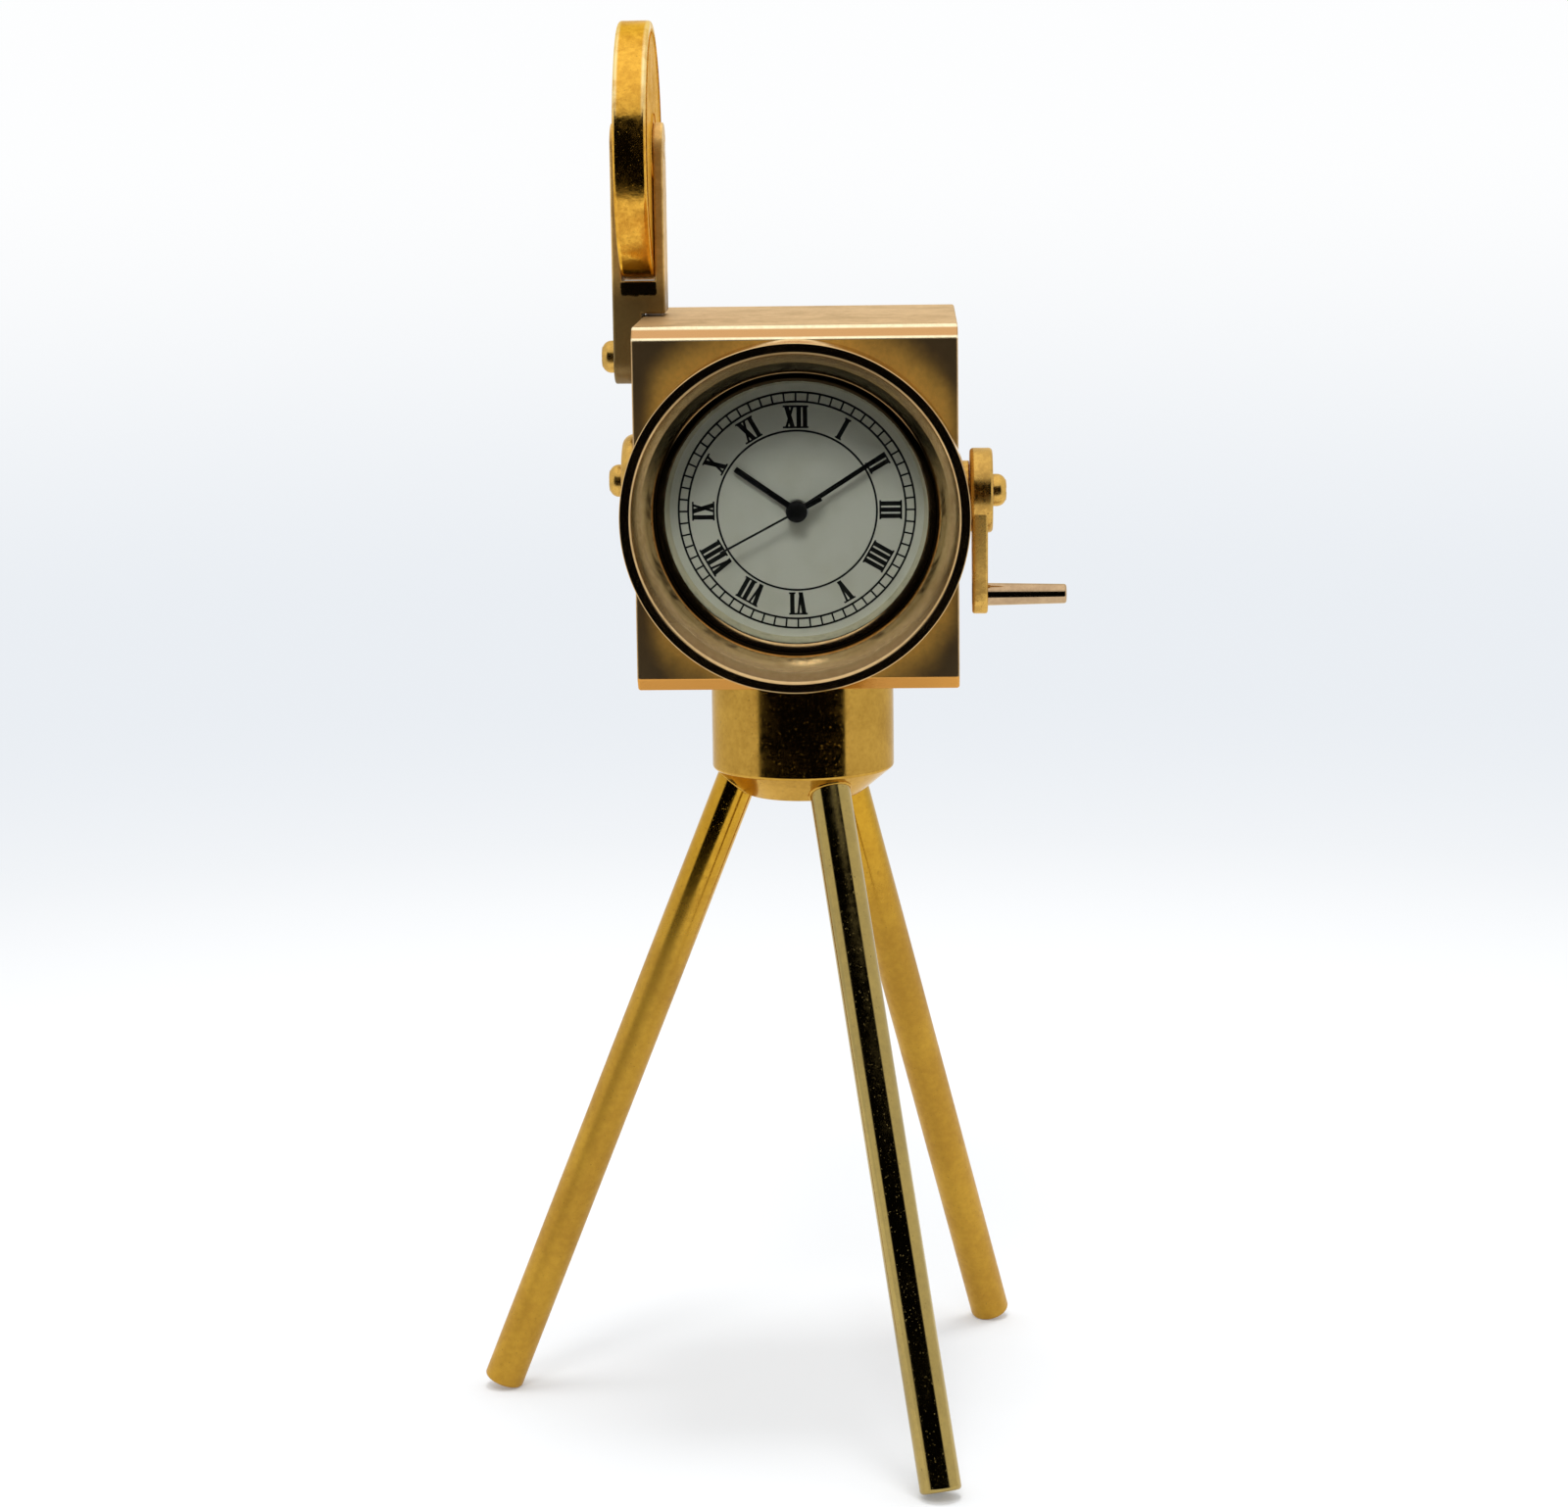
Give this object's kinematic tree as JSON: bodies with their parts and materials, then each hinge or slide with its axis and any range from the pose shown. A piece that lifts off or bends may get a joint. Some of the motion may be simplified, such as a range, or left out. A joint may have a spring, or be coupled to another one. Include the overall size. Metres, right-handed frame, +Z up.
{
  "type": "miniature camera clock",
  "caption": "Desk ornament clock shaped as a hand-cranked film camera: round dial in a lens hood on a box case, side crank, film reel and a tripod stand.",
  "frame": {"origin": "on the table under the axis of the tripod hub", "axes": "+Z up along the hub's axis, -Y out of the dial towards the reader, +X to the reader's right, on the crank's side"},
  "size_m": [0.0468, 0.046, 0.1085],
  "materials": {
    "polished_gold": "polished gold plating",
    "satin_gold": "fine brushed satin gold plating",
    "rose_gold": "polished rose gold plating",
    "pale_gold": "bright pale gold",
    "steel": "plain bright steel",
    "cream_dial": "satin cream with black print",
    "black_enamel": "black lacquer",
    "clear_crystal": "clear",
    "black_rubber": "matt",
    "white_plastic": "moulded",
    "black_plastic": "moulded"
  },
  "bodies": {
    "tripod": {"tripod_hub": "polished_gold", "front_leg": "polished_gold", "rear_leg": "polished_gold", "left_leg": "polished_gold", "pan_washer": "steel"},
    "camera": {"camera_case": "satin_gold", "pan_screw": "steel", "reel_arm": "polished_gold", "arm_screw": "polished_gold", "reel_pin": "polished_gold", "crank_spacer": "polished_gold", "crank_screw": "polished_gold", "knob_screw": "polished_gold"},
    "crank": {"crank": "polished_gold", "crank_handle": "rose_gold"},
    "knob": {"side_knob": "polished_gold"},
    "reel": {"film_reel": "polished_gold"},
    "insert": {"bezel_ring": "polished_gold", "insert_tube": "steel", "grip_ring": "black_rubber", "crystal": "clear_crystal", "rehaut_ring": "pale_gold", "dial": "cream_dial", "movement_holder": "white_plastic", "movement": "white_plastic", "button_cell": "steel", "cell_strap": "steel", "back_cover": "white_plastic"},
    "hour": {"hour_hand": "black_enamel", "hour_pipe": "pale_gold"},
    "minute": {"minute_hand": "black_enamel", "minute_pipe": "pale_gold"},
    "second": {"second_hand": "black_enamel", "second_arbor": "steel", "hand_cap": "black_enamel"},
    "setting": {"setting_knob": "black_plastic"}
  },
  "joints": [
    {"name": "pan", "type": "hinge", "parent": "tripod", "child": "camera", "pos_m": [0, 0, 0.0589], "axis": [0, 0, 1], "continuous": true},
    {"name": "crank_turn", "type": "hinge", "parent": "camera", "child": "crank", "pos_m": [0.01205, 0.0015, 0.0725], "axis": [1, 0, 0], "continuous": true},
    {"name": "knob_turn", "type": "hinge", "parent": "camera", "child": "knob", "pos_m": [-0.01205, 0.0015, 0.0735], "axis": [-1, 0, 0], "continuous": true},
    {"name": "reel_turn", "type": "hinge", "parent": "camera", "child": "reel", "pos_m": [-0.01227, 0.0038, 0.0987], "axis": [-1, 0, 0], "continuous": true},
    {"name": "insert_pull", "type": "slide", "parent": "camera", "child": "insert", "axis": [0, -1, 0], "range_m": [0, 0.014]},
    {"name": "minute_turn", "type": "hinge", "parent": "insert", "child": "minute", "pos_m": [0, -0.011, 0.07225], "axis": [0, 1, 0], "continuous": true},
    {"name": "second_turn", "type": "hinge", "parent": "insert", "child": "second", "pos_m": [0, -0.011, 0.07225], "axis": [0, 1, 0], "continuous": true},
    {"name": "hour_turn", "type": "hinge", "parent": "insert", "child": "hour", "pos_m": [0, -0.011, 0.07225], "axis": [0, 1, 0], "continuous": true},
    {"name": "setting_turn", "type": "hinge", "parent": "insert", "child": "setting", "pos_m": [0.0042, -0.0028, 0.07225], "axis": [0, 1, 0], "continuous": true}
  ],
  "couplings": [
    {"joint": "second_turn", "follows": "minute_turn", "ratio": 60},
    {"joint": "hour_turn", "follows": "minute_turn", "ratio": 0.083333},
    {"joint": "setting_turn", "follows": "minute_turn", "ratio": -1}
  ]
}
